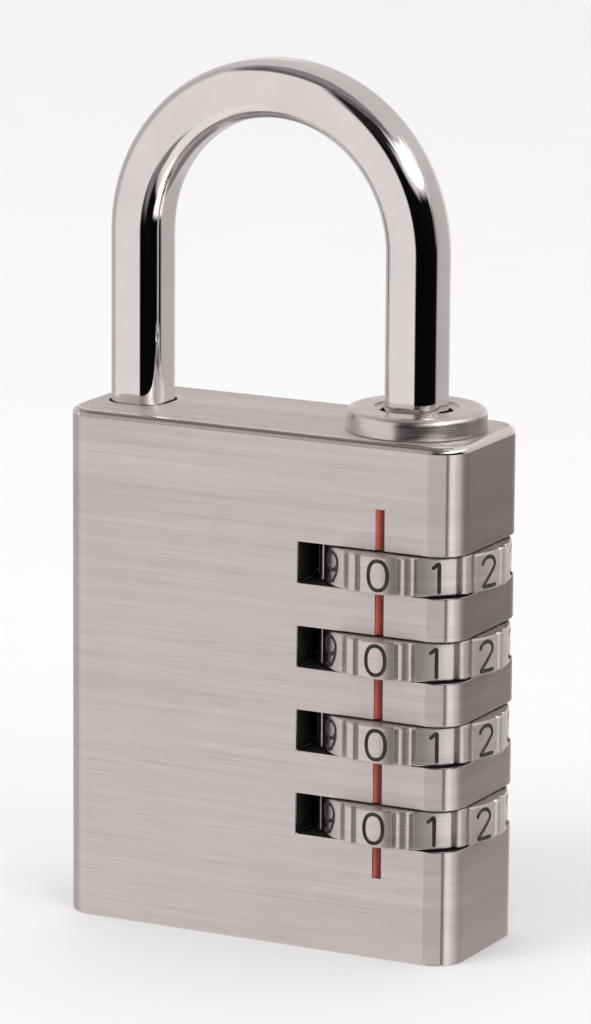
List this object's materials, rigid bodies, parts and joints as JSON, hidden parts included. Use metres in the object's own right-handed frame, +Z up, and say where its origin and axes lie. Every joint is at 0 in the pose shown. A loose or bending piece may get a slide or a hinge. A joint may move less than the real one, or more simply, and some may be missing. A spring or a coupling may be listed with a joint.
{
  "type": "combination padlock",
  "caption": "Metal luggage padlock: a rounded-square shackle in a block body with digit dials in open windows beside a red index line.",
  "frame": {"origin": "the middle of the body's bottom face, which the padlock stands on", "axes": "+X along the body's width towards the dials and the heel of the shackle, -Y is the front face with the index line, +Z up through the shackle"},
  "size_m": [0.0413, 0.0174, 0.0801],
  "materials": {
    "brushed_zinc": "nickel plated and brushed along the width",
    "chrome": "polished chrome plate",
    "dial_steel": "satin nickel plate",
    "sleeve_brass": "plain turned brass",
    "spring_steel": "bright spring steel",
    "plate_zinc": "as cast, nickel plated",
    "index_red": "red enamel in a groove"
  },
  "bodies": {
    "lock_body": {"body": "brushed_zinc", "index_line_1": "index_red", "index_line_2": "index_red", "index_line_3": "index_red", "index_line_4": "index_red", "index_line_5": "index_red", "shackle_collar": "chrome", "base_plate": "plate_zinc", "detent_spring": "spring_steel", "thrust_washer": "spring_steel", "sleeve_spring": "spring_steel", "shackle_spring": "spring_steel"},
    "shackle": {"shackle": "chrome"},
    "dial_1": {"dial_1": "dial_steel", "code_sleeve_1": "sleeve_brass"},
    "dial_2": {"dial_2": "dial_steel", "code_sleeve_2": "sleeve_brass"},
    "dial_3": {"dial_3": "dial_steel", "code_sleeve_3": "sleeve_brass"},
    "dial_4": {"dial_4": "dial_steel", "code_sleeve_4": "sleeve_brass"}
  },
  "joints": [
    {"name": "shackle_lift", "type": "slide", "parent": "lock_body", "child": "shackle", "axis": [0, 0, 1], "range_m": [0, 0.00777], "deforming": ["shackle_spring"]},
    {"name": "dial_1_turn", "type": "hinge", "parent": "lock_body", "child": "dial_1", "pos_m": [0.0125, 0, 0.03584], "axis": [0, 0, 1], "continuous": true},
    {"name": "dial_2_turn", "type": "hinge", "parent": "lock_body", "child": "dial_2", "pos_m": [0.0125, 0, 0.02807], "axis": [0, 0, 1], "continuous": true},
    {"name": "dial_3_turn", "type": "hinge", "parent": "lock_body", "child": "dial_3", "pos_m": [0.0125, 0, 0.0203], "axis": [0, 0, 1], "continuous": true},
    {"name": "dial_4_turn", "type": "hinge", "parent": "lock_body", "child": "dial_4", "pos_m": [0.0125, 0, 0.01253], "axis": [0, 0, 1], "continuous": true}
  ]
}
